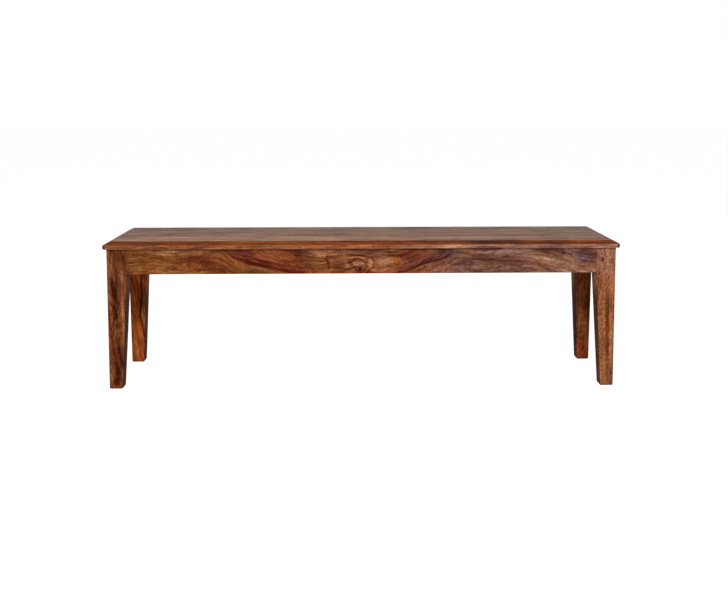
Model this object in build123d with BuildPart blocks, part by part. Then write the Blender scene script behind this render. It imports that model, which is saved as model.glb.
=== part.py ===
from build123d import *

import os
from math import sqrt

# A dining bench of solid hardwood. The seat is three boards with splines in their joints and one
# bevel round the rim. It lies on four tapered legs and four aprons that join in haunched tenons.
# Housed corner braces keep the frame square. Two rails, dovetailed into the long aprons, and six
# wooden buttons hold the seat down and let it swell.
# Millimetres. X runs along the bench, Y from front to back, Z up from the floor at its centre.

# Overall sizes
bench_length = 1562.0
bench_depth = 350.0
seat_height = 450.0

# Seat
seat_thickness = 22.0
side_overhang = 9.0
end_overhang = 12.0
middle_board_width = 117.0
bevel_run = 21.0
bevel_rise = 10.5
bevel_foot_radius = 2.0
seat_corner_radius = 12.0
seat_bottom_ease = 1.5

# Splines, stopped short of the ends of the seat boards
spline_width = 20.0
spline_thickness = 6.0
spline_end_distance = 40.0

# Legs: square at the top, both inner faces tapered below the aprons
leg_width = 57.5
foot_width = 40.0
taper_drop = 18.0
foot_ease = 2.0
leg_edge_radius = 2.0

# Aprons
apron_height = 77.0
apron_thickness = 22.0
apron_setback = 1.5
apron_edge_radius = 1.5

# Haunched tenons on both ends of each apron
tenon_length = 32.0
tenon_thickness = 9.0
tenon_cheek = 9.0
tenon_shoulder = 10.0
haunch_length = 10.0
haunch_height = 15.0
haunch_drop = 4.0

# Corner braces: ends housed in the aprons, face on a flat along the inner edge of the leg
brace_thickness = 22.0
brace_height = 50.0
brace_housing = 4.0
leg_flat = 9.0

# Cross rails and the dovetails that drop into the long aprons
rail_count = 2
rail_width = 32.0
rail_height = 40.0
rail_edge_radius = 1.5
tail_length = 10.0
tail_neck = 20.0
tail_flare = 3.0
tail_height = 26.0
rail_screw_spacing = 192.0
rail_slot_travel = 4.0

# Buttons: a tongue in a slot of the apron, and a body that is screwed up into the seat
button_width = 28.0
button_body = 30.0
button_height = 18.0
button_ease = 1.5
tongue_length = 8.0
tongue_height = 8.0
tongue_gap = 2.0

# Screws, and how far they go into the seat and the legs
screw_diameter = 4.0
screw_head_diameter = 8.0
screw_head_height = 2.6
seat_bite = 14.0
leg_bite = 26.0

# Clearances, and one overrun for cuts that leave a piece
joint_clearance = 0.15
end_gap = 1.0
thread_clearance = 0.05
shank_clearance = 0.4
overrun = 5.0

# Places worked out from the sizes
leg_x = bench_length / 2 - end_overhang
leg_y = bench_depth / 2 - side_overhang
seat_underside = seat_height - seat_thickness
bevel_foot = seat_height - bevel_rise
joint_y = middle_board_width / 2
apron_bottom = seat_underside - apron_height
apron_inner = apron_setback + apron_thickness
inner_x = leg_x - apron_inner
inner_y = leg_y - apron_inner
tenon_middle = apron_setback + tenon_cheek + tenon_thickness / 2
flat_sum = 2 * leg_width - leg_flat
thread_radius = screw_diameter / 2 + thread_clearance
shank_radius = screw_diameter / 2 + shank_clearance
button_screw_length = button_height + seat_bite
rail_screw_length = rail_height + seat_bite
brace_screw_length = brace_thickness + leg_bite

# The rails part the frame into bays. Each long side has a button in the middle of its end bays
bay = 2 * (leg_x - leg_width) / (rail_count + 1)
rail_places = [bay * (i - (rail_count - 1) / 2) for i in range(rail_count)]
button_places = [-bay * rail_count / 2, bay * rail_count / 2]


# Seats for the screws: each plane lies under a head and faces out of it


def rail_screw_planes():
    """Two on the underside of each rail, with X along the rail."""
    half = rail_screw_spacing / 2
    spots = [(x, y, seat_underside - rail_height) for x in rail_places for y in (-half, half)]
    return [Plane(spot, x_dir=(0, 1, 0), z_dir=(0, 0, -1)) for spot in spots]


def button_planes():
    """The buttons' places by name, each on the apron under the seat with X pointing off it."""
    planes = {}
    for number, x in enumerate(button_places, 1):
        planes[f"button_front_{number}"] = Plane((x, -inner_y, seat_underside), x_dir=(0, 1, 0))
        planes[f"button_back_{number}"] = Plane((x, inner_y, seat_underside), x_dir=(0, -1, 0))
    planes["button_left"] = Plane((-inner_x, 0, seat_underside), x_dir=(1, 0, 0))
    planes["button_right"] = Plane((inner_x, 0, seat_underside), x_dir=(-1, 0, 0))
    return planes


def button_screw_plane(button):
    """The middle of the underside of one button's body."""
    middle = Vector(tongue_gap + button_body / 2, 0, -button_height)
    return Plane(button.from_local_coords(middle), z_dir=(0, 0, -1))


def brace_screw_plane():
    """The inner face of the front left brace, where its screw goes through into the leg."""
    reach = flat_sum / 2 + brace_thickness / sqrt(2)
    origin = (reach - leg_x, reach - leg_y, seat_underside - brace_height / 2)
    return Plane(origin, z_dir=(1, 1, 0))


# Outlines that two pieces share: one has the shape, and the other is cut to it with a clearance


def tenon(plane, clearance=0.0, gap=0.0, top=apron_height - haunch_drop):
    """A haunched tenon, on the plane through its middle with X into the leg and Y up."""
    low = tenon_shoulder - clearance
    step = apron_height - haunch_height + clearance
    with BuildSketch(plane) as outline:
        with BuildLine():
            Polyline(
                (0, low),
                (tenon_length + gap, low),
                (tenon_length + gap, step),
                (haunch_length + gap, step),
                (haunch_length + gap, top),
                (0, top),
                close=True,
            )
        make_face()
    return outline.sketch


def long_tenon_plane():
    origin = (leg_width - leg_x, tenon_middle - leg_y, apron_bottom)
    return Plane(origin, x_dir=(-1, 0, 0), z_dir=(0, 1, 0))


def short_tenon_plane():
    origin = (tenon_middle - leg_x, leg_width - leg_y, apron_bottom)
    return Plane(origin, x_dir=(0, -1, 0), z_dir=(-1, 0, 0))


def brace_outline(clearance=0.0):
    """The front left brace from above, across the corner and into both aprons."""
    near = flat_sum - sqrt(2) * clearance
    far = flat_sum + sqrt(2) * (brace_thickness + clearance)
    end = apron_inner - brace_housing - clearance
    with BuildSketch(Plane((-leg_x, -leg_y, seat_underside))) as outline:
        with BuildLine():
            Polyline(
                (near - end, end),
                (far - end, end),
                (end, far - end),
                (end, near - end),
                close=True,
            )
        make_face()
    return outline.sketch


def dovetail(x, clearance=0.0):
    """The front dovetail of the rail at x, from above, widening into the apron."""
    neck = tail_neck / 2 + clearance
    end = -inner_y - tail_length - clearance
    with BuildSketch(Plane.XY.offset(seat_underside)) as outline:
        with BuildLine():
            Polyline(
                (x - neck, -inner_y),
                (x + neck, -inner_y),
                (x + neck + tail_flare, end),
                (x - neck - tail_flare, end),
                close=True,
            )
        make_face()
    return outline.sketch


def button_slot(plane):
    """The top of the slot for one button's tongue, open to the inside of the apron."""
    with BuildSketch(plane.offset(tongue_height - button_height)) as outline:
        with Locations((-tongue_length - tongue_gap, 0)):
            Rectangle(
                tongue_length + tongue_gap + overrun,
                button_width + 2 * tongue_gap,
                align=(Align.MIN, Align.CENTER),
            )
    return outline.sketch


# Seat


with BuildPart() as whole_seat:
    with BuildSketch(Plane.XY.offset(seat_underside)):
        Rectangle(bench_length, bench_depth)
    extrude(amount=seat_thickness)
    top_face = whole_seat.faces().sort_by(Axis.Z)[-1]
    chamfer(top_face.edges(), length=bevel_run, length2=bevel_rise, reference=top_face)
    with BuildSketch(Plane.XY.offset(seat_underside)):
        RectangleRounded(bench_length, bench_depth, seat_corner_radius)
    extrude(amount=seat_thickness, mode=Mode.INTERSECT)
    rim = (bevel_foot - bevel_foot_radius, bevel_foot + bevel_foot_radius)
    fillet(whole_seat.edges().filter_by_position(Axis.Z, *rim), bevel_foot_radius)
    chamfer(whole_seat.faces().sort_by(Axis.Z)[0].edges(), seat_bottom_ease)
    with Locations(*[button_screw_plane(plane) for plane in button_planes().values()]):
        Hole(thread_radius, depth=button_screw_length + end_gap)
    with Locations(*rail_screw_planes()):
        Hole(thread_radius, depth=rail_screw_length + end_gap)


def spline(y, clearance=0.0, gap=0.0):
    """The spline in the board joint at y, or the groove that holds it."""
    length = bench_length - 2 * spline_end_distance
    with BuildPart() as strip:
        with BuildSketch(Plane.XY.offset(seat_underside + seat_thickness / 2)):
            with Locations((0, y)):
                Rectangle(length + 2 * gap, spline_width + 2 * gap)
        extrude(amount=spline_thickness / 2 + clearance, both=True)
    return strip


def seat_board(low, high, joints):
    """The board between two depths, grooved for its splines."""
    grooves = [spline(y, joint_clearance, end_gap).part for y in joints]
    with BuildPart() as board:
        add(whole_seat.part)
        with BuildSketch(Plane.XY.offset(seat_underside)):
            with Locations((0, (low + high) / 2)):
                Rectangle(bench_length, high - low)
        extrude(amount=seat_thickness, mode=Mode.INTERSECT)
        add(grooves, mode=Mode.SUBTRACT)
    return board


seat_board_front = seat_board(-bench_depth / 2, -joint_y, [-joint_y])
seat_board_middle = seat_board(-joint_y, joint_y, [-joint_y, joint_y])
seat_board_back = seat_board(joint_y, bench_depth / 2, [joint_y])


# Frame: the front left leg and brace, and the front and left aprons. The others mirror them


with BuildPart() as leg:
    for z, inset, width in (
        (0, foot_ease, foot_width - 2 * foot_ease),
        (foot_ease, 0, foot_width),
        (apron_bottom - taper_drop, 0, leg_width),
        (seat_underside, 0, leg_width),
    ):
        with BuildSketch(Plane.XY.offset(z)):
            with Locations((inset - leg_x, inset - leg_y)):
                RectangleRounded(width, width, leg_edge_radius, align=(Align.MIN, Align.MIN))
    loft(ruled=True)
    for plane in (long_tenon_plane(), short_tenon_plane()):
        mortise = tenon(plane, joint_clearance, end_gap, apron_height + overrun)
        half = tenon_thickness / 2 + joint_clearance
        extrude(mortise, amount=half, both=True, mode=Mode.SUBTRACT)
    extrude(brace_outline(joint_clearance), amount=-brace_height - joint_clearance, mode=Mode.SUBTRACT)
    with Locations(brace_screw_plane()):
        Hole(thread_radius, depth=brace_screw_length + end_gap)

with BuildPart() as corner_brace:
    extrude(brace_outline(), amount=-brace_height)
    with Locations(brace_screw_plane()):
        Hole(shank_radius)

with BuildPart() as long_apron:
    with BuildSketch(Plane.XZ.offset(leg_y - apron_setback)):
        with Locations((0, apron_bottom)):
            Rectangle(leg_x - leg_width, apron_height, align=(Align.MAX, Align.MIN))
    extrude(amount=-apron_thickness)
    fillet(long_apron.edges().filter_by(Axis.X).group_by(Axis.Z)[0], apron_edge_radius)
    extrude(tenon(long_tenon_plane()), amount=tenon_thickness / 2, both=True)
    extrude(brace_outline(joint_clearance), amount=-brace_height - joint_clearance, mode=Mode.SUBTRACT)
    for x in [x for x in rail_places if x <= 0]:
        socket = dovetail(x, joint_clearance)
        extrude(socket, amount=-tail_height - joint_clearance, mode=Mode.SUBTRACT)
    for name, plane in button_planes().items():
        if name.startswith("button_front") and plane.origin.X <= 0:
            slot = button_slot(plane)
            extrude(slot, amount=-tongue_height - tongue_gap, mode=Mode.SUBTRACT)
    mirror(about=Plane.YZ)

with BuildPart() as short_apron:
    with BuildSketch(Plane.YZ.offset(apron_setback - leg_x)):
        with Locations((0, apron_bottom)):
            Rectangle(leg_y - leg_width, apron_height, align=(Align.MAX, Align.MIN))
    extrude(amount=apron_thickness)
    fillet(short_apron.edges().filter_by(Axis.Y).group_by(Axis.Z)[0], apron_edge_radius)
    extrude(tenon(short_tenon_plane()), amount=tenon_thickness / 2, both=True)
    extrude(brace_outline(joint_clearance), amount=-brace_height - joint_clearance, mode=Mode.SUBTRACT)
    slot = button_slot(button_planes()["button_left"])
    extrude(slot, amount=-tongue_height - tongue_gap, mode=Mode.SUBTRACT)
    mirror(about=Plane.XZ)


def cross_rail(x):
    """A rail between the long aprons, with slots that let the seat move across it."""
    with BuildPart() as rail:
        with BuildSketch(Plane.XY.offset(seat_underside)):
            with Locations((x, 0)):
                Rectangle(rail_width, 2 * inner_y)
        extrude(amount=-rail_height)
        fillet(rail.edges().filter_by(Axis.Y).group_by(Axis.Z)[0], rail_edge_radius)
        extrude(dovetail(x), amount=-tail_height)
        mirror(about=Plane.XZ)
        for plane in [plane for plane in rail_screw_planes() if plane.origin.X == x]:
            with BuildSketch(plane):
                SlotCenterToCenter(rail_slot_travel, 2 * shank_radius)
            extrude(amount=-rail_height, mode=Mode.SUBTRACT)
    return rail


def button(plane):
    """An L-shaped block, its tongue under the apron's wood and its body under the seat."""
    end = tongue_gap + button_body
    side = Plane(plane.origin, x_dir=plane.x_dir, z_dir=-plane.y_dir)
    with BuildPart() as block:
        with BuildSketch(side):
            with BuildLine():
                Polyline(
                    (-tongue_length, tongue_height - button_height),
                    (tongue_gap, tongue_height - button_height),
                    (tongue_gap, 0),
                    (end, 0),
                    (end, button_ease - button_height),
                    (end - button_ease, -button_height),
                    (-tongue_length, -button_height),
                    close=True,
                )
            make_face()
        extrude(amount=button_width / 2, both=True)
        with Locations(button_screw_plane(plane)):
            Hole(shank_radius)
    return block


# Screws


def screw(length):
    """A pan head screw along Z, head up, its head bearing at the origin."""
    with BuildPart() as wood_screw:
        with BuildSketch():
            Circle(screw_head_diameter / 2)
        extrude(amount=screw_head_height)
        with BuildSketch():
            Circle(screw_diameter / 2)
        extrude(amount=-length)
    return wood_screw.part


with BuildPart() as button_screws:
    with Locations(*[button_screw_plane(plane) for plane in button_planes().values()]):
        add(screw(button_screw_length))

with BuildPart() as cross_rail_screws:
    with Locations(*rail_screw_planes()):
        add(screw(rail_screw_length))

with BuildPart() as corner_brace_screws:
    with Locations(brace_screw_plane()):
        add(screw(brace_screw_length))
    mirror(about=Plane.XZ)
    mirror(about=Plane.YZ)


# Files: one for each node


def write(piece, name):
    """Label a finished piece and write its file."""
    piece.part.label = name
    export_step(piece.part, f"parts/{name}.step")


def mirrored(piece, back=False, right=False):
    """A copy of a front left piece for the back, the right, or both."""
    with BuildPart() as copy:
        add(piece.part)
        if back:
            mirror(about=Plane.XZ, mode=Mode.REPLACE)
        if right:
            mirror(about=Plane.YZ, mode=Mode.REPLACE)
    return copy


os.makedirs("parts", exist_ok=True)
write(seat_board_front, "seat_board_front")
write(seat_board_middle, "seat_board_middle")
write(seat_board_back, "seat_board_back")
write(spline(-joint_y), "seat_spline_front")
write(spline(joint_y), "seat_spline_back")
for depth in ("front", "back"):
    for side in ("left", "right"):
        corner = {"back": depth == "back", "right": side == "right"}
        write(mirrored(leg, **corner), f"leg_{depth}_{side}")
        write(mirrored(corner_brace, **corner), f"corner_brace_{depth}_{side}")
write(corner_brace_screws, "corner_brace_screws")
write(long_apron, "apron_front")
write(mirrored(long_apron, back=True), "apron_back")
write(short_apron, "apron_left")
write(mirrored(short_apron, right=True), "apron_right")
for number, x in enumerate(rail_places, 1):
    write(cross_rail(x), f"cross_rail_{number}")
write(cross_rail_screws, "cross_rail_screws")
for name, plane in button_planes().items():
    write(button(plane), name)
write(button_screws, "button_screws")
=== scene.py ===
import math
from dataclasses import dataclass

import bpy
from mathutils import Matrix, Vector


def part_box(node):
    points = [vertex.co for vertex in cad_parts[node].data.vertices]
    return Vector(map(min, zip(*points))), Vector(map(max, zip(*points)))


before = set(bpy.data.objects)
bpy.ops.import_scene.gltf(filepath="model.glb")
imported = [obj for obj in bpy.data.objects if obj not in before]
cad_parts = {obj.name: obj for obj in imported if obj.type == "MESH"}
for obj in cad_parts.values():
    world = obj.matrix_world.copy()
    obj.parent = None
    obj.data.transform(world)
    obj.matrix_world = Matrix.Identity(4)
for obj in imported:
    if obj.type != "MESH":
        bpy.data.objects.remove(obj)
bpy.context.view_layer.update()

# A dining bench of brown hardwood, taken to be rosewood, under satin lacquer. Every shape is the
# CAD part's own. This script gives each piece its wood, sawn along its own grain, and builds the
# studio round it.
# Metres and the frame of the part: X along the bench, Y from front to back, Z up.


X, Y, Z = Vector((1, 0, 0)), Vector((0, 1, 0)), Vector((0, 0, 1))
MM = 0.001


# Shader nodes: each call adds what it needs to a material, and most give the last output

# The sockets of a mix of colours: its share, its two colours and its result
MIX_SHARE, MIX_A, MIX_B, MIX_RESULT = 0, 6, 7, 2


class Shader:
    """The nodes of one material, or of the world."""

    def __init__(self, owner):
        owner.use_nodes = True
        self.nodes = owner.node_tree.nodes
        self.links = owner.node_tree.links
        self.nodes.clear()

    def put(self, socket, value):
        """Link an output to an input, or set the input to a plain value."""
        if isinstance(value, bpy.types.NodeSocket):
            self.links.new(value, socket)
        else:
            socket.default_value = value

    def add(self, kind, inputs=(), **settings):
        """A node with its settings, its inputs filled in by name or number."""
        node = self.nodes.new(kind)
        for setting, value in settings.items():
            setattr(node, setting, value)
        pairs = inputs.items() if isinstance(inputs, dict) else enumerate(inputs)
        for key, value in pairs:
            self.put(node.inputs[key], value)
        return node

    def math(self, operation, *values):
        return self.add("ShaderNodeMath", values, operation=operation).outputs[0]

    def sum(self, *values):
        total = values[0]
        for value in values[1:]:
            total = self.math("ADD", total, value)
        return total

    def times(self, *values):
        product = values[0]
        for value in values[1:]:
            product = self.math("MULTIPLY", product, value)
        return product

    def vector(self, operation, *values):
        node = self.add("ShaderNodeVectorMath", values, operation=operation)
        return node.outputs["Value" if operation in ("DOT_PRODUCT", "LENGTH") else "Vector"]

    def join(self, x=0.0, y=0.0, z=0.0):
        return self.add("ShaderNodeCombineXYZ", (x, y, z)).outputs[0]

    def split(self, vector):
        return list(self.add("ShaderNodeSeparateXYZ", (vector,)).outputs)

    def noise(self, vector, detail=2.0, roughness=0.5, output="Fac"):
        """Soft noise round 0.5, with about one feature for each unit of the vector."""
        inputs = {"Vector": vector, "Scale": 1.0, "Detail": detail, "Roughness": roughness}
        return self.add("ShaderNodeTexNoise", inputs).outputs[output]

    def remap(self, value, low, high, to_low=0.0, to_high=1.0, smooth=False):
        kind = "SMOOTHSTEP" if smooth else "LINEAR"
        inputs = (value, low, high, to_low, to_high)
        return self.add("ShaderNodeMapRange", inputs, interpolation_type=kind).outputs[0]

    def ramp(self, value, stops):
        """A colour for each value; stops are pairs of a value and its colour."""
        node = self.add("ShaderNodeValToRGB", (value,))
        elements = node.color_ramp.elements
        while len(elements) < len(stops):
            elements.new(1.0)
        for element, (place, colour) in zip(elements, stops):
            element.position = place
            element.color = (*colour, 1.0)
        return node.outputs[0]

    def curve(self, value, points, low, high):
        """The height of a smooth line through points, all of whose heights lie from low to high."""
        start, end = points[0][0], points[-1][0]
        node = self.add("ShaderNodeFloatCurve", {"Value": self.remap(value, start, end)})
        line = node.mapping.curves[0]
        while len(line.points) < len(points):
            line.points.new(0.5, 0.5)
        for point, (place, height) in zip(line.points, points):
            point.location = ((place - start) / (end - start), (height - low) / (high - low))
        node.mapping.update()
        return self.remap(node.outputs[0], 0.0, 1.0, low, high)

    def mix(self, share, a, b, kind="MIX"):
        colours = [(*value, 1.0) if isinstance(value, tuple) else value for value in (a, b)]
        inputs = {MIX_SHARE: share, MIX_A: colours[0], MIX_B: colours[1]}
        node = self.add("ShaderNodeMix", inputs, data_type="RGBA", blend_type=kind)
        return node.outputs[MIX_RESULT]

    def tint(self, share, colour, tint):
        """The colour multiplied by a tint, in part or in full."""
        return self.mix(share, colour, tint, "MULTIPLY")

    def dim(self, colour, level):
        """A colour made lighter or darker by a level that varies over the surface."""
        return self.tint(1.0, colour, self.join(level, level, level))

    def principled(self, inputs):
        """A Principled surface as the output of the material."""
        surface = self.add("ShaderNodeBsdfPrincipled", inputs)
        self.add("ShaderNodeOutputMaterial", {"Surface": surface.outputs[0]})


# Wood. Each board is measured in millimetres along its grain, across it and through the board


@dataclass
class Board:
    """How a piece was sawn from the tree, and the marks near its best face."""

    node: str
    along: Vector
    across: Vector
    # The shares of the piece's box at which its measures start
    corner: tuple
    # Where the pith runs across and through the board, and its lean for each unit along
    pith: tuple
    lean: float = 0.0
    seed: float = 0.0
    tone: tuple = (1.0, 1.0, 1.0)
    contrast: float = 0.8
    sway: float = 1.0
    fleck: float = 1.0
    grit: float = 0.4
    mottle: float = 0.4
    # How strongly the darkest growth lines show
    veins: float = 0.7
    # The length of the growth lines' colours, as a share of the usual
    reach: float = 1.0
    zones: float = 1.0
    gloss: float = 0.004
    # How far the growth lines drop across the board, by places along it
    drop: tuple = ()
    # Ovals that swell the growth lines: place, half sizes, height
    swells: tuple = ()
    # Growth lines or zones of them: from and to across the tree as it was before it bent, from
    # and to along the board, tint, share
    rings: tuple = ()
    # Ovals of another colour: place, half sizes, tint, share
    patches: tuple = ()
    # Closed lines round an eye: place, half sizes, half width as a share, tint, share
    loops: tuple = ()
    # Thin marks: points along and across, half width, tint, share
    streaks: tuple = ()
    # Tints at the left and the right: painted shade on the seat's bevel, and painted light on the
    # upright edge below it
    bevel: tuple = ()
    edge: tuple = ()
    # The face that looks into the bench: its direction, its tints of painted shade at the foot and of
    # painted light at the top, and the places along the board between which one turns into the other
    inner_face: tuple = ()


# Sizes of what shows in the wood, in millimetres along, across and through the board
BEND_SIZE = (1100.0, 420.0, 420.0)
RIPPLE_SIZE = (140.0, 38.0, 38.0)
MOTTLE_SIZE = (110.0, 30.0, 30.0)
FLECK_SIZE = (30.0, 7.0, 7.0)
FIBRE_SIZE = (42.0, 1.2, 1.2)
PORE_SIZE = (20.0, 2.4, 2.4)
GRIT_SIZE = (5.5, 3.2, 3.2)
SPOT_SIZE = (70.0, 22.0, 22.0)

# How far bends and ripples shift the growth lines, and how far the edges of marks wander
BEND = 40.0
RIPPLE = 7.0
SPOT_SHIFT = (22.0, 8.0, 0.0)

# Spacing of the growth lines, and how long they keep their colour along the grain
LINES = (9.0, 260.0)
FINE_LINES = (3.6, 110.0)
DARK_LINES = (26.0, 1200.0)
ZONES = (70.0, 500.0)
LINE_NOISE_ROUGHNESS = 0.6

# The strength of the fine growth lines, as a share of the board's contrast
FINE_SHARE = 0.8

# Steps from a board's seed to the seeds of its layers of noise
FINE_STEP = 1.0
PORE_STEP = 1.0
MOTTLE_STEP = 2.0
ZONE_STEP = 3.0
RIPPLE_STEP = 5.0
DARK_STEP = 7.0
SPOT_STEP = 9.0
RUB_STEP = 11.0

# How far a seed moves the noise along, across and through the board
SEED_SPREAD = (1.0, 2.3, 3.1)

# The middle of a noise, and the part of its range that takes a layer from dark to light
NOISE_MIDDLE = 0.5
NOISE_SPREAD = (0.3, 0.7)

# How much darker and how much lighter each layer can make the wood
FLECK_DEPTHS = (0.38, 0.42)
GRIT_DEPTHS = (0.40, 0.40)
FIBRE_DEPTHS = (0.20, 0.18)
PORE_SHARE = 0.6

# The heights between which a board's drop and its streaks run
CURVE_RANGE = (-100.0, 100.0)

# How softly a ring ends across and along the board, and a streak along it
RING_FADE = 2.5
RING_END_FADE = 30.0
STREAK_END_FADE = 12.0

# The share of a patch's radius, and of a streak's half width, that has the full tint
PATCH_CORE = 0.45
STREAK_CORE = 0.4

# Pairs of limits: where something starts to show, and where it shows in full. Marks go by their
# depth under the best face, zones, lines and pores by noise, faces and edges by how far they
# turn, and crevices by how open they are
MARK_DEPTH = (34.0, 14.0)
LIGHT_ZONE = (0.50, 0.64)
HEART_ZONE = (0.48, 0.36)
DARK_LINE = (0.61, 0.70)
PORE_NOISE = (0.61, 0.69)
END_TURN = (0.08, 0.30)
INNER_TURN = (0.6, 0.9)
UPRIGHT_TURN = (0.7, 0.4)
WORN_TURN = (0.99, 0.90)
RUBBED_NOISE = (0.42, 0.62)
CREVICE_LIGHT = (0.90, 0.55)

# How far the bevel, with its painted shade, and the arris below it, with its painted highlight, look
# up: from, to and the fade on both sides
BEVEL_UP = (0.84, 0.95, 0.04)
ARRIS_UP = (0.30, 0.70, 0.15)

# The places along the seat between which its left tints turn into its right ones
SEAT_TURN = (0.0, 450.0)

# The radius round an edge within which it is worn, and its least and greatest share of wear
EDGE_WEAR = 2.5 * MM
WEAR_SHARES = (0.05, 0.55)

# How far a crevice reaches from the corner between two pieces, and its greatest share of painted
# shade
CREVICE = 12.0 * MM
CREVICE_SHARE = 0.5

# How high fibres, pores and growth lines stand in the finish, and how deep all of it goes
FIBRE_RELIEF = 0.5
PORE_RELIEF = -0.8
LINE_RELIEF = 0.3
RELIEF = 0.3 * MM
RELIEF_STRENGTH = 0.3

# Dark growth lines are a little rougher than light ones, and pores are rougher than both
LEVEL_RANGE = (0.35, 0.65)
LEVEL_ROUGHNESS = (0.50, 0.42)
PORE_ROUGHNESS = 0.2

GROWTH_COLOURS = (
    (0.28, (0.042, 0.011, 0.005)),
    (0.41, (0.105, 0.027, 0.009)),
    (0.52, (0.172, 0.050, 0.015)),
    (0.64, (0.240, 0.080, 0.025)),
    (0.78, (0.340, 0.135, 0.050)),
)

# Tints that multiply the colour of the growth lines
PALE = (1.70, 2.50, 4.00)
GOLD = (1.10, 1.25, 0.95)
TAN = (1.90, 2.40, 3.80)
RED = (1.25, 0.88, 0.80)
ROSE = (1.40, 1.25, 2.40)
ASH = (1.15, 1.75, 3.30)
OLIVE = (0.95, 1.35, 1.40)
WINE = (0.74, 0.54, 0.80)
PLUM = (0.72, 0.52, 0.60)
SMOKE = (0.60, 0.68, 1.20)
BROWN = (0.62, 0.50, 0.55)
UMBER = (0.52, 0.30, 0.22)
DUSK = (0.38, 0.32, 0.34)
INK = (0.24, 0.15, 0.20)
# Pale wear on edges, and the painted highlight on the seat's arris
WEAR_AND_HIGHLIGHT = (1.30, 1.40, 1.60)
# Painted shade in the corners between pieces
CREVICE_SHADE = (0.40, 0.22, 0.18)
END_GRAIN = (0.34, 0.34, 0.38)
PORE_TINT = (0.34, 0.24, 0.22)


def board_point(shader, board):
    """The point in millimetres along, across and through the board."""
    low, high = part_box(board.node)
    start = Vector([low[i] + board.corner[i] * (high[i] - low[i]) for i in range(3)])
    point = shader.add("ShaderNodeTexCoord").outputs["Object"]
    point = shader.vector("SUBTRACT", point, start)
    axes = (board.along, board.across, board.along.cross(board.across))
    return shader.join(*[shader.vector("DOT_PRODUCT", point, axis / MM) for axis in axes])


def sized(shader, point, size, seed):
    """The point in units of a size, moved to its own part of the noise by a seed."""
    rate = [1 / step for step in size]
    return shader.vector("MULTIPLY_ADD", point, rate, [seed * spread for spread in SEED_SPREAD])


def swing(shader, point, size, reach, seed, detail=1.0):
    """A vector that wanders round zero, at most about half of reach long."""
    colour = shader.noise(sized(shader, point, size, seed), detail, output="Color")
    centred = shader.vector("SUBTRACT", colour, (NOISE_MIDDLE, NOISE_MIDDLE, NOISE_MIDDLE))
    return shader.vector("MULTIPLY", centred, reach)


def oval_distance(shader, spot, centre, size):
    """The distance from the middle of an oval: 1 on its rim."""
    away = shader.vector("SUBTRACT", spot, (*centre, 0.0))
    away = shader.vector("MULTIPLY", away, (1 / size[0], 1 / size[1], 0.0))
    return shader.vector("LENGTH", away)


def window(shader, value, low, high, fade):
    """1 from low to high, falling smoothly to 0 within the fade outside them."""
    start = shader.remap(value, low - fade, low, smooth=True)
    return shader.times(start, shader.remap(value, high + fade, high, smooth=True))


def bent(shader, board, point, spot):
    """The point as it lay in the straight tree, before it bent as it grew."""
    along = shader.split(point)[0]
    reach = BEND * board.sway
    bend = swing(shader, point, BEND_SIZE, (0, reach, reach), board.seed)
    ripple = swing(shader, point, RIPPLE_SIZE, (0, RIPPLE, RIPPLE), board.seed + RIPPLE_STEP)
    rise = shader.times(along, board.lean)
    if board.drop:
        rise = shader.math("SUBTRACT", rise, shader.curve(along, board.drop, *CURVE_RANGE))
    for centre, size, height in board.swells:
        hill = shader.remap(oval_distance(shader, spot, centre, size), 1.0, 0.0, smooth=True)
        rise = shader.sum(rise, shader.times(hill, height))
    for move in (bend, ripple, shader.join(0.0, rise, 0.0)):
        point = shader.vector("ADD", point, move)
    return point


def growth_line(shader, radius, along, size, seed, detail=2.0):
    """Noise that follows the growth lines: size is its width and its length."""
    width, length = size
    place = shader.join(shader.times(radius, 1 / width), shader.times(along, 1 / length), seed)
    return shader.noise(place, detail, LINE_NOISE_ROUGHNESS)


def growth_colour(shader, board, place):
    """The colour of the growth lines, and how light they are, round the middle of a noise."""
    seed = board.seed
    along = shader.split(place)[0]
    start = (0.0, -board.pith[0], -board.pith[1])
    radius = shader.vector("LENGTH", shader.vector("MULTIPLY_ADD", place, (0.0, 1.0, 1.0), start))

    stretch = shader.times(along, 1 / board.reach)
    lines = growth_line(shader, radius, stretch, LINES, seed)
    fine = growth_line(shader, radius, stretch, FINE_LINES, seed + FINE_STEP)
    mottle = shader.noise(sized(shader, place, MOTTLE_SIZE, seed + MOTTLE_STEP))
    strengths = (
        (lines, board.contrast),
        (fine, FINE_SHARE * board.contrast),
        (mottle, board.mottle),
    )
    parts = [shader.times(shader.sum(layer, -NOISE_MIDDLE), share) for layer, share in strengths]
    level = shader.sum(*parts, NOISE_MIDDLE)
    colour = shader.ramp(level, GROWTH_COLOURS)

    zone = growth_line(shader, radius, along, ZONES, seed + ZONE_STEP, detail=1.0)
    dark = growth_line(shader, radius, along, DARK_LINES, seed + DARK_STEP)
    tints = (
        (zone, LIGHT_ZONE, board.zones, GOLD),
        (zone, HEART_ZONE, board.zones, PLUM),
        (dark, DARK_LINE, board.veins, INK),
    )
    for value, limits, most, tint in tints:
        share = shader.remap(value, *limits, 0.0, most, smooth=True)
        colour = shader.tint(share, colour, tint)
    return colour, level


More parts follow.
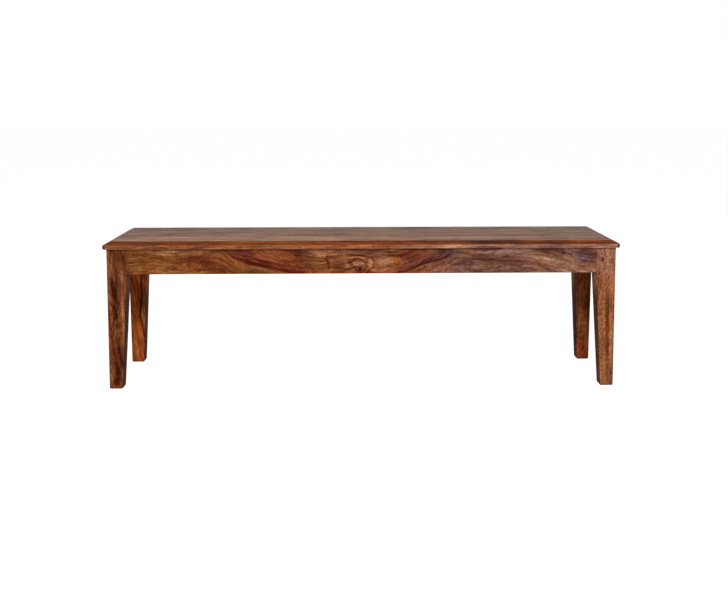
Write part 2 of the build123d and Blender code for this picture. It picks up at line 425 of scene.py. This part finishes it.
def marks(shader, board, point, spot, bent_across, colour):
    """The colour with the board's own marks, all near its best face."""
    along, across, _ = shader.split(spot)
    depth = shader.math("ABSOLUTE", shader.split(point)[2])
    near = shader.remap(depth, *MARK_DEPTH, smooth=True)
    for low, high, start, end, tint, share in board.rings:
        ring = window(shader, bent_across, low, high, RING_FADE)
        length = window(shader, along, start, end, RING_END_FADE)
        colour = shader.tint(shader.times(ring, length, near, share), colour, tint)
    for centre, size, tint, share in board.patches:
        distance = oval_distance(shader, spot, centre, size)
        patch = shader.remap(distance, 1.0, PATCH_CORE, smooth=True)
        colour = shader.tint(shader.times(patch, near, share), colour, tint)
    for centre, size, width, tint, share in board.loops:
        distance = shader.sum(oval_distance(shader, spot, centre, size), -1.0)
        loop = shader.remap(shader.math("ABSOLUTE", distance), width, 0.0, smooth=True)
        colour = shader.tint(shader.times(loop, near, share), colour, tint)
    for route, width, tint, share in board.streaks:
        line = shader.curve(along, route, *CURVE_RANGE)
        away = shader.math("ABSOLUTE", shader.math("SUBTRACT", across, line))
        start, end = route[0][0] + STREAK_END_FADE, route[-1][0] - STREAK_END_FADE
        ends = window(shader, along, start, end, STREAK_END_FADE)
        streak = shader.remap(away, width, STREAK_CORE * width, smooth=True)
        colour = shader.tint(shader.times(streak, ends, near, share), colour, tint)
    return colour


def vary(shader, colour, noise, depths, strength=1.0):
    """The colour made darker and lighter by a noise, by up to two depths."""
    darker, lighter = depths
    levels = (1 - darker * strength, 1 + lighter * strength)
    return shader.dim(colour, shader.remap(noise, *NOISE_SPREAD, *levels))


def fine_grain(shader, board, point, place, colour):
    """The colour with flecks, grit, fibres and pores, and the fibres and pores themselves."""
    seed = board.seed
    fleck_size = (FLECK_SIZE[0] * board.reach, *FLECK_SIZE[1:])
    fleck = shader.noise(sized(shader, place, fleck_size, seed), detail=3.0, roughness=0.65)
    colour = vary(shader, colour, fleck, FLECK_DEPTHS, board.fleck)
    grit = shader.noise(sized(shader, point, GRIT_SIZE, seed), detail=1.0)
    colour = vary(shader, colour, grit, GRIT_DEPTHS, board.grit)
    fibre = shader.noise(sized(shader, place, FIBRE_SIZE, seed))
    colour = vary(shader, colour, fibre, FIBRE_DEPTHS)
    pore = shader.noise(sized(shader, place, PORE_SIZE, seed + PORE_STEP), detail=1.0)
    pore = shader.remap(pore, *PORE_NOISE, smooth=True)
    colour = shader.tint(shader.times(pore, PORE_SHARE), colour, PORE_TINT)
    return colour, fibre, pore


def worn_edges(shader, normal, point, seed):
    """The share by which an edge is rubbed pale, in patches along it."""
    rounded = shader.add("ShaderNodeBevel", {"Radius": EDGE_WEAR}, samples=4).outputs[0]
    turn = shader.vector("DOT_PRODUCT", rounded, normal)
    edge = shader.remap(turn, *WORN_TURN, smooth=True)
    rub = shader.noise(sized(shader, point, MOTTLE_SIZE, seed + RUB_STEP))
    return shader.times(edge, shader.remap(rub, *RUBBED_NOISE, *WEAR_SHARES, smooth=True))


def crevices(shader):
    """The share of painted shade that darkens the corners between pieces, where little light reaches.
    """
    node = shader.add("ShaderNodeAmbientOcclusion", {"Distance": CREVICE}, samples=6)
    return shader.remap(node.outputs["AO"], *CREVICE_LIGHT, 0.0, CREVICE_SHARE, smooth=True)


def rim_tints(shader, board, point, normal, end, colour):
    """The colour with painted shade on the seat's bevel, painted light on the upright edge below it,
    and a painted highlight on the arris between them.
    """
    side = shader.math("SUBTRACT", 1.0, end)
    right = shader.remap(shader.split(point)[0], *SEAT_TURN, smooth=True)
    up = shader.math("ABSOLUTE", shader.split(normal)[2])
    slope = window(shader, up, *BEVEL_UP)
    # Painted shade on the bevel
    colour = shader.tint(shader.times(slope, side), colour, shader.mix(right, *board.bevel))
    edge = shader.remap(up, *UPRIGHT_TURN, smooth=True)
    # Painted light on the upright edge, brightest at the right
    colour = shader.tint(shader.times(edge, side), colour, shader.mix(right, *board.edge))
    # A painted highlight on the rounded arris at the foot of the bevel
    return shader.tint(window(shader, up, *ARRIS_UP), colour, WEAR_AND_HIGHLIGHT)


def inner_tints(shader, board, point, normal, colour):
    """The colour with painted shade low on the face that looks into the bench, and painted light high
    on it.
    """
    facing, low_tint, high_tint, rise = board.inner_face
    inner = shader.remap(shader.vector("DOT_PRODUCT", normal, facing), *INNER_TURN, smooth=True)
    # Painted shade at the foot of the inner face, turning into painted light at its top
    upper = shader.remap(shader.split(point)[0], *rise, smooth=True)
    return shader.tint(inner, colour, shader.mix(upper, low_tint, high_tint))


def face_tints(shader, board, point, colour):
    """The colour with painted shade and light on single faces, dark end grain, painted shade in
    corners and wear.
    """
    normal = shader.add("ShaderNodeNewGeometry").outputs["Normal"]
    end = shader.math("ABSOLUTE", shader.vector("DOT_PRODUCT", normal, board.along))
    end = shader.remap(end, *END_TURN, smooth=True)
    if board.bevel:
        colour = rim_tints(shader, board, point, normal, end, colour)
    if board.inner_face:
        colour = inner_tints(shader, board, point, normal, colour)
    colour = shader.tint(end, colour, END_GRAIN)
    # Painted shade in the corners between pieces, such as the dark line under the seat
    colour = shader.tint(crevices(shader), colour, CREVICE_SHADE)
    return shader.tint(worn_edges(shader, normal, point, board.seed), colour, WEAR_AND_HIGHLIGHT)


def rosewood(board):
    """The finished wood of one piece: growth lines, marks, fibres, pores and satin lacquer."""
    material = bpy.data.materials.new(f"wood_{board.node}")
    shader = Shader(material)
    point = board_point(shader, board)
    wander = swing(shader, point, SPOT_SIZE, SPOT_SHIFT, board.seed + SPOT_STEP, detail=2.0)
    spot = shader.vector("ADD", point, wander)
    place = bent(shader, board, point, spot)
    colour, level = growth_colour(shader, board, place)
    colour = marks(shader, board, point, spot, shader.split(place)[1], colour)
    colour, fibre, pore = fine_grain(shader, board, point, place, colour)
    colour = shader.tint(1.0, colour, board.tone)
    colour = face_tints(shader, board, point, colour)

    height = shader.sum(
        shader.times(fibre, FIBRE_RELIEF),
        shader.times(pore, PORE_RELIEF),
        shader.times(level, LINE_RELIEF),
    )
    bump = {"Strength": RELIEF_STRENGTH, "Distance": RELIEF, "Height": height}
    roughness = shader.remap(level, *LEVEL_RANGE, *LEVEL_ROUGHNESS)
    shader.principled({
        "Base Color": colour,
        "Roughness": shader.sum(roughness, shader.times(pore, PORE_ROUGHNESS)),
        "Specular IOR Level": board.gloss,
        "Normal": shader.add("ShaderNodeBump", bump).outputs[0],
    })
    return material


# A fine pale growth line of the front apron: its half width, tint and share
FINE_ARC = (1.8, PALE, 0.30)

# The front apron, from its middle and down from the seat. Its growth lines make a broad arch with
# an eye in it, and the wood between the arch and the seat is dark heartwood on both flanks.
FRONT_APRON = Board(
    "apron_front",
    X,
    -Z,
    corner=(0.5, 0.0, 1.0),
    pith=(320.0, 40.0),
    seed=4.0,
    tone=(0.95, 1.00, 0.98),
    sway=0.12,
    contrast=0.50,
    fleck=0.75,
    grit=0.70,
    mottle=0.8,
    veins=0.3,
    reach=0.5,
    zones=0.12,
    drop=(
        (-711, 0), (-640, -3), (-560, 4), (-500, -2), (-445, -5), (-422, 2), (-385, 30),
        (-322, 50), (-285, 58), (-235, 69), (-180, 77), (-115, 80), (-60, 80), (0, 80),
        (60, 80), (105, 77), (130, 70), (160, 58), (187, 47), (215, 40), (240, 33),
        (262, 20), (285, 6), (330, 6), (385, 8), (450, 2), (520, 6), (560, 14), (620, 30),
        (711, 52),
    ),
    swells=(
        ((-94, 44), (26, 34), 8.0),
        ((-13, 54), (66, 44), 12.0),
        ((70, 38), (60, 36), 10.0),
        ((-517, 50), (40, 26), 10.0),
    ),
    rings=(
        (-60, 0, -415, -345, WINE, 0.85),
        (-20, 0, -345, -190, WINE, 0.80),
        (-60, -16, -330, -215, RED, 0.35),
        (-6, 2, -425, -190, UMBER, 0.95),
        (-16, 0, 115, 250, WINE, 0.75),
        (-6, 1, 110, 255, INK, 0.75),
    ),
    patches=(
        ((-690, 44), (28, 34), OLIVE, 0.7),
        ((-590, 50), (160, 60), (0.92, 0.91, 0.80), 0.9),
        ((-642, 60), (32, 7), BROWN, 0.7),
        ((-575, 57), (26, 12), BROWN, 0.9),
        ((-524, 45), (11, 15), BROWN, 0.8),
        ((-496, 61), (18, 6), UMBER, 0.6),
        ((-520, 8), (170, 12), ASH, 0.30),
        ((-470, 40), (70, 45), RED, 0.35),
        ((-330, 66), (60, 14), OLIVE, 0.7),
        ((-357, 14), (14, 8), ROSE, 0.5),
        ((-310, 20), (15, 16), ROSE, 0.4),
        ((-285, 18), (14, 9), ROSE, 0.35),
        ((-195, 20), (18, 18), WINE, 0.6),
        ((-240, 40), (170, 60), (0.82, 0.72, 0.82), 0.9),
        ((-146, 32), (44, 26), (1.22, 1.50, 1.75), 0.9),
        ((-106, 42), (4.5, 31), UMBER, 1.1),
        ((-88, 40), (14, 16), ROSE, 0.7),
        ((-30, 8), (200, 16), ASH, 0.45),
        # Painted light that lifts the shadow under the seat along the apron's right half
        ((480, 0), (300, 8), (1.50, 1.48, 1.65), 1.0),
        ((62, 6), (92, 13), (1.70, 1.80, 1.55), 1.0),
        ((-16, 47), (22, 10), TAN, 0.9),
        ((-20, 29), (40, 6), TAN, 0.6),
        ((-50, 46), (10, 18), TAN, 0.7),
        ((24, 46), (9, 20), TAN, 0.9),
        ((64, 38), (36, 20), (1.42, 1.80, 2.60), 0.9),
        ((70, 66), (56, 11), ROSE, 0.55),
        ((102, 34), (14, 28), (1.20, 1.00, 0.90), 0.7),
        ((160, 24), (60, 26), (0.84, 0.65, 0.94), 1.0),
        ((128, 20), (20, 24), WINE, 0.5),
        ((122, 46), (24, 22), (1.20, 1.15, 1.70), 0.5),
        ((192, 20), (24, 20), (1.00, 1.05, 1.35), 0.6),
        ((250, 55), (140, 50), (1.0, 0.98, 1.35), 0.9),
        ((258, 13), (38, 17), SMOKE, 0.80),
        ((660, 50), (90, 50), (1.2, 1.35, 1.6), 0.9),
        ((480, 38), (350, 140), ASH, 0.60),
        ((430, 38), (280, 120), (0.78, 0.86, 0.88), 0.9),
        ((0, 40), (90, 60), (1.09, 1.20, 1.50), 0.9),
        ((295, 45), (60, 14), BROWN, 0.6),
        ((425, 36), (110, 20), BROWN, 0.7),
        ((430, 11), (100, 11), TAN, 0.4),
        ((470, 40), (210, 150), (1.14, 1.12, 1.32), 1.0),
        ((360, 66), (60, 12), GOLD, 0.6),
        ((540, 46), (26, 18), RED, 0.6),
        ((632, 9), (34, 9), TAN, 0.5),
        ((611, 15), (6, 6), INK, 0.8),
        ((678, 22), (42, 30), SMOKE, 0.9),
        ((-9, 63), (9, 8), INK, 1.1),
    ),
    loops=(
        ((154, 22), (25, 28), 0.10, PALE, 0.30),
    ),
    streaks=(
        (((-475, 38), (-430, 40), (-385, 46)), 5.0, GOLD, 0.6),
        (((-388, 6), (-374, 18), (-352, 29), (-326, 37), (-300, 44)), *FINE_ARC),
        (((-362, 4), (-350, 14), (-334, 23), (-306, 33), (-270, 43)), *FINE_ARC),
        (((-333, 3), (-322, 13), (-306, 22), (-280, 32), (-246, 42)), *FINE_ARC),
        (((-304, 2), (-294, 12), (-276, 23), (-250, 34), (-214, 46)), *FINE_ARC),
        (((-276, 4), (-262, 16), (-240, 28), (-206, 42), (-170, 54)), 1.8, PALE, 0.20),
        (((96, 66), (118, 58), (134, 47), (145, 34), (150, 18), (151, 6)), *FINE_ARC),
        (((110, 68), (136, 58), (154, 44), (166, 28), (171, 8)), *FINE_ARC),
        (((150, 60), (170, 44), (184, 26), (190, 8)), *FINE_ARC),
        (((380, 66), (430, 62), (480, 58), (530, 50)), 3.5, PALE, 0.35),
        (((-112, 59), (-80, 59), (-44, 60)), 2.5, UMBER, 0.9),
        (((-112, 67), (-80, 67), (-40, 68)), 2.5, PALE, 0.35),
        (((-114, 27), (-60, 23), (-20, 21)), 3.0, UMBER, 0.6),
        (
            ((-56, 22), (-31, 20), (-5, 23), (16, 26), (28, 30), (36, 38), (43, 48)),
            3.0, UMBER, 1.1,
        ),
        (((0, 86), (16, 72), (24, 65), (31, 56), (38, 44), (44, 36)), 3.5, UMBER, 1.1),
        (
            ((-49, 50), (-41, 41), (-30, 35), (-17, 33), (-4, 36), (5, 43), (11, 52), (17, 63)),
            3.2, UMBER, 1.2,
        ),
        (((-49, 35), (-41, 42), (-32, 52), (-23, 62), (-12, 72), (4, 86)), 3.5, UMBER, 1.2),
        (((-16, 88), (-3, 73), (4, 66), (11, 56), (18, 46)), 3.5, UMBER, 1.1),
    ),
)

# The legs, from their left edge and the floor
LEG = {"along": Z, "across": X, "corner": (0.0, 0.0, 0.0)}

# The tints of the legs' inner faces: painted shade low and painted light high, and the heights
# between which they change
INNER_LOW, INNER_HIGH = (0.40, 0.40, 0.42), (1.20, 1.55, 1.70)
BACK_INNER_LOW, BACK_INNER_HIGH = (0.28, 0.22, 0.19), (1.38, 1.85, 2.10)
FRONT_RISE, BACK_RISE = (255.0, 320.0), (215.0, 275.0)

FRONT_LEFT_LEG = Board(
    "leg_front_left",
    **LEG,
    pith=(90.0, 70.0),
    lean=0.05,
    seed=44.0,
    tone=(0.96, 0.91, 0.96),
    contrast=0.6,
    grit=0.7,
    reach=0.5,
    zones=0.25,
    inner_face=(X, INNER_LOW, INNER_HIGH, FRONT_RISE),
    patches=(
        ((370, 28), (150, 90), (0.84, 0.92, 0.90), 0.9),
        ((392, 25), (44, 8), OLIVE, 0.6),
        ((388, 54), (50, 9), WINE, 0.8),
        ((300, 44), (80, 7), ROSE, 0.6),
        ((180, 27), (230, 17), (0.70, 0.66, 0.70), 1.0),
        ((328, 15), (22, 8), DUSK, 0.8),
        ((300, 21), (32, 11), DUSK, 0.8),
        ((272, 26), (22, 8), DUSK, 0.9),
        ((246, 20), (14, 7), DUSK, 0.7),
        ((222, 25), (20, 9), DUSK, 0.7),
        ((198, 31), (18, 11), DUSK, 0.8),
        ((165, 19), (24, 8), OLIVE, 0.8),
        ((140, 33), (26, 7), DUSK, 0.7),
        ((112, 37), (30, 11), DUSK, 0.8),
        ((78, 39), (26, 9), DUSK, 0.8),
        ((50, 28), (22, 9), DUSK, 0.6),
        ((20, 19), (18, 14), DUSK, 0.9),
        ((160, 6), (110, 7), RED, 0.7),
        ((70, 14), (36, 7), TAN, 0.25),
    ),
    streaks=(
        (((176, 12), (190, 14), (209, 17), (224, 25), (243, 24), (266, 8), (280, 4)), 3.0, DUSK, 0.9),
        (((225, 24), (243, 26), (256, 31), (280, 39)), 3.0, DUSK, 0.9),
        (((60, 50), (120, 47), (180, 46), (240, 43), (300, 45), (360, 47)), 3.0, PALE, 0.22),
    ),
)
FRONT_RIGHT_LEG = Board(
    "leg_front_right",
    **LEG,
    pith=(-60.0, 50.0),
    lean=0.02,
    seed=58.0,
    tone=(1.46, 1.72, 2.24),
    contrast=0.26,
    sway=0.5,
    fleck=0.8,
    grit=1.2,
    reach=0.3,
    zones=0.2,
    inner_face=(-X, INNER_LOW, INNER_HIGH, FRONT_RISE),
    patches=(
        ((389, 16), (10, 6), INK, 1.0),
        ((425, 28), (110, 80), (1.12, 1.45, 2.10), 0.9),
        ((165, 44), (190, 11), (1.35, 1.40, 1.35), 0.8),
        ((210, 54), (30, 5), BROWN, 0.5),
        ((115, 38), (26, 6), BROWN, 0.7),
    ),
)
BACK_LEFT_LEG = Board(
    "leg_back_left",
    **LEG,
    pith=(70.0, -60.0),
    lean=0.10,
    seed=64.0,
    tone=(1.60, 1.22, 0.76),
    contrast=0.6,
    zones=0.3,
    inner_face=(X, BACK_INNER_LOW, BACK_INNER_HIGH, BACK_RISE),
    patches=(((320, 52), (60, 16), UMBER, 1.2),),
    streaks=(
        (((90, 58), (114, 50), (167, 46), (210, 50), (260, 56)), 10.0, (0.85, 1.40, 2.60), 0.9),
        (
            ((50, 52), (87, 45), (114, 39), (167, 32), (221, 38), (288, 38), (350, 42)),
            4.5, INK, 0.95,
        ),
    ),
)
BACK_RIGHT_LEG = Board(
    "leg_back_right",
    **LEG,
    pith=(-70.0, 40.0),
    lean=0.03,
    seed=74.0,
    tone=(1.05, 1.02, 1.02),
    contrast=0.55,
    fleck=1.1,
    grit=1.1,
    reach=0.4,
    zones=0.3,
    inner_face=(-X, BACK_INNER_LOW, BACK_INNER_HIGH, BACK_RISE),
    patches=(
        ((200, 12), (260, 8), SMOKE, 0.8),
        ((25, 38), (60, 30), RED, 0.8),
    ),
)

OTHER_APRONS = [
    Board("apron_back", X, -Z, corner=(0.5, 1.0, 1.0), pith=(120.0, 60.0), lean=0.02, seed=14.0),
    Board("apron_left", Y, -Z, corner=(0.0, 0.5, 1.0), pith=(90.0, 50.0), lean=0.04, seed=24.0),
    Board("apron_right", Y, -Z, corner=(1.0, 0.5, 1.0), pith=(-60.0, 50.0), lean=0.04, seed=34.0),
]

# The seat boards, from the middle of their front edge and down from the top
SEAT = {
    "along": X,
    "across": Y,
    "corner": (0.5, 0.0, 1.0),
    "tone": (1.12, 1.38, 1.44),
    "contrast": 0.6,
    "gloss": 0.09,
    "zones": 0.5,
    # Painted shade on the bevel and painted light on the upright edge, at the left and the right
    "bevel": ((0.80, 0.44, 0.09), (0.66, 0.36, 0.11)),
    "edge": ((1.03, 0.96, 1.19), (1.44, 1.84, 4.07)),
}
SEAT_BOARDS = [
    Board(
        "seat_board_front",
        pith=(90.0, -70.0),
        lean=0.02,
        seed=84.0,
        patches=(
            ((-300, 72), (1000, 66), (1.60, 1.85, 2.05), 1.0),
            ((-40, 8), (200, 14), (1.28, 1.22, 1.10), 0.9),
            ((-570, 8), (70, 14), (1.20, 1.25, 1.00), 0.8),
        ),
        # A painted highlight along the front of the seat behind its bevel, which also stands for
        # lacquer worn where people sit
        streaks=((((-790, 26), (-300, 25), (300, 25), (790, 25)), 5.0, PALE, 0.3),),
        **SEAT,
    ),
    Board("seat_board_middle", pith=(30.0, -60.0), lean=0.03, seed=94.0, **SEAT),
    Board(
        "seat_board_back",
        pith=(70.0, -80.0),
        lean=-0.02,
        seed=104.0,
        # Painted shade: the right of the back board darkened against its sheen
        patches=(((560, 60), (560, 110), (0.78, 0.78, 0.84), 1.0),),
        **SEAT,
    ),
]

BOARDS = [
    FRONT_APRON,
    FRONT_LEFT_LEG,
    FRONT_RIGHT_LEG,
    BACK_LEFT_LEG,
    BACK_RIGHT_LEG,
    *OTHER_APRONS,
    *SEAT_BOARDS,
]

# The pieces under the seat and in its joints: the same tree, planed but neither stained nor glossy
INNER_WOOD = {
    "corner": (0.5, 0.5, 0.5),
    "pith": (80.0, -50.0),
    "tone": (1.20, 1.35, 1.70),
    "contrast": 0.6,
    "zones": 0.5,
    "gloss": 0.002,
}
INNER_SEED = 120.0
INNER_SEED_STEP = 7.0

# Zinc plate: its clouds and scratches for each metre, and what they do to it
STEEL_CLOUDS = (300.0, 300.0, 300.0)
STEEL_SCRATCHES = (2500.0, 900.0, 2500.0)
STEEL_COLOURS = ((0.35, (0.38, 0.37, 0.34)), (0.60, (0.62, 0.61, 0.58)))
CLOUD_RANGE = (0.35, 0.65)
STEEL_ROUGHNESS = (0.42, 0.28)
SCRATCH_DEPTHS = (0.12, 0.08)
SCRATCH_RELIEF = 0.05 * MM
SCRATCH_STRENGTH = 0.25


def inner_board(name):
    """How a piece under the seat or in its joints was sawn."""
    if name.startswith("corner_brace"):
        lean = 1 if name in ("corner_brace_front_right", "corner_brace_back_left") else -1
        along, across = Vector((1, lean, 0)).normalized(), Z
    elif name.startswith(("cross_rail", "button_front", "button_back")):
        along, across = Y, X
    else:
        along, across = X, Y
    seed = INNER_SEED + INNER_SEED_STEP * sorted(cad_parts).index(name)
    return Board(name, along, across, seed=seed, **INNER_WOOD)


def steel():
    """Zinc-plated steel: a cloudy grey with fine scratches and duller spots."""
    material = bpy.data.materials.new("screw_steel")
    shader = Shader(material)
    point = shader.add("ShaderNodeTexCoord").outputs["Object"]
    cloud = shader.noise(shader.vector("MULTIPLY", point, STEEL_CLOUDS), detail=3.0)
    scratch = shader.noise(shader.vector("MULTIPLY", point, STEEL_SCRATCHES))
    colour = shader.ramp(cloud, STEEL_COLOURS)
    bump = {"Strength": SCRATCH_STRENGTH, "Distance": SCRATCH_RELIEF, "Height": scratch}
    shader.principled({
        "Base Color": vary(shader, colour, scratch, SCRATCH_DEPTHS),
        "Metallic": 1.0,
        "Roughness": shader.remap(cloud, *CLOUD_RANGE, *STEEL_ROUGHNESS),
        "Normal": shader.add("ShaderNodeBump", bump).outputs[0],
    })
    return material


def dress(name, material):
    """Give a piece one material, in place of those it came with."""
    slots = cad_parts[name].data.materials
    slots.clear()
    slots.append(material)


for board in BOARDS:
    dress(board.node, rosewood(board))

SCREW_STEEL = steel()
sawn = {board.node for board in BOARDS}
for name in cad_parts:
    if name.endswith("screws"):
        dress(name, SCREW_STEEL)
    elif name not in sawn:
        dress(name, rosewood(inner_board(name)))


# Camera: fitted to the photograph, 728 by 598 pixels. It looks slightly down and has no roll

PHOTO_WIDTH, PHOTO_HEIGHT = 728, 598
FOCAL_PIXELS = 918.8
AXIS_PIXEL = (372.5, 185.3)
SENSOR = 36.0
CAMERA_PLACE = (-0.0368, -2.9083, 0.8658)
CAMERA_YAW = 0.0241
CAMERA_PITCH = 0.0897


def link(thing):
    """Put a new object into the scene."""
    bpy.context.scene.collection.objects.link(thing)


camera_data = bpy.data.cameras.new("camera")
camera_data.sensor_width = SENSOR
camera_data.lens = FOCAL_PIXELS * SENSOR / PHOTO_WIDTH
camera_data.shift_x = (PHOTO_WIDTH / 2 - AXIS_PIXEL[0]) / PHOTO_WIDTH
camera_data.shift_y = (AXIS_PIXEL[1] - PHOTO_HEIGHT / 2) / PHOTO_WIDTH
camera = bpy.data.objects.new("camera", camera_data)
camera.location = CAMERA_PLACE
camera.rotation_euler = (math.pi / 2 - CAMERA_PITCH, 0, -CAMERA_YAW)
link(camera)
bpy.context.scene.camera = camera


# Floor and light

FLOOR_HALF = 30.0
FLOOR_SIGNS = ((-1, -1), (1, -1), (1, 1), (-1, 1))

# What the floor throws on the object, what it shows of the shadow, and its glow where it is seen
FLOOR_PALE = (0.4, 0.4, 0.4, 1.0)
FLOOR_SHADE = (0.35, 0.35, 0.35, 1.0)
FLOOR_GLOW = 0.95

WHITE = (1.0, 1.0, 1.0, 1.0)
WORLD_LIGHT = 0.12

# Each softbox: its name, its place, what it is aimed at, its width, its height and its watts
SOFTBOXES = (
    ("key", (0.0, -2.95, 2.3), (0, 0, 0.35), 1.2, 0.5, 112),
    ("low", (0.0, -3.6, 0.25), (0, 0, 0.25), 0.8, 0.4, 48),
    ("back", (0.0, 3.4, 0.6), (0, 0, 0.35), 1.2, 0.8, 40),
)


def seen_share(shader):
    """1 for camera, glossy and transmission rays, which see a white background."""
    path = shader.add("ShaderNodeLightPath").outputs
    seen = shader.math("MAXIMUM", path["Is Camera Ray"], path["Is Glossy Ray"])
    return shader.math("MAXIMUM", seen, path["Is Transmission Ray"])


def floor_paper():
    """White where it is seen, but for the object's shadow, and pale where it lights the object."""
    material = bpy.data.materials.new("floor_paper")
    shader = Shader(material)
    pale = shader.add("ShaderNodeBsdfDiffuse", {"Color": FLOOR_PALE})
    shade = shader.add("ShaderNodeBsdfDiffuse", {"Color": FLOOR_SHADE})
    glow = shader.add("ShaderNodeEmission", {"Strength": FLOOR_GLOW})
    seen = shader.add("ShaderNodeAddShader", (shade.outputs[0], glow.outputs[0]))
    parts = (seen_share(shader), pale.outputs[0], seen.outputs[0])
    both = shader.add("ShaderNodeMixShader", parts)
    shader.add("ShaderNodeOutputMaterial", {"Surface": both.outputs[0]})
    return material


def softbox(name, place, target, width, height, power):
    """A rectangular area light at a place, aimed at a target."""
    data = bpy.data.lights.new(name, "AREA")
    data.shape = "RECTANGLE"
    data.size = width
    data.size_y = height
    data.energy = power
    light = bpy.data.objects.new(name, data)
    light.location = place
    aim = Vector(target) - Vector(place)
    light.rotation_euler = aim.to_track_quat("-Z", "Y").to_euler()
    light.visible_glossy = False
    link(light)


floor_mesh = bpy.data.meshes.new("floor")
floor_corners = [(x * FLOOR_HALF, y * FLOOR_HALF, 0) for x, y in FLOOR_SIGNS]
floor_mesh.from_pydata(floor_corners, [], [(0, 1, 2, 3)])
floor_mesh.materials.append(floor_paper())
floor = bpy.data.objects.new("floor", floor_mesh)
link(floor)

world = bpy.data.worlds.new("studio")
bpy.context.scene.world = world
sky = Shader(world)
sky_level = sky.remap(seen_share(sky), 0.0, 1.0, WORLD_LIGHT, 1.0)
background = sky.add("ShaderNodeBackground", {"Color": WHITE, "Strength": sky_level})
sky.add("ShaderNodeOutputWorld", {"Surface": background.outputs[0]})

for row in SOFTBOXES:
    softbox(*row)

bpy.context.scene.view_settings.view_transform = "Standard"
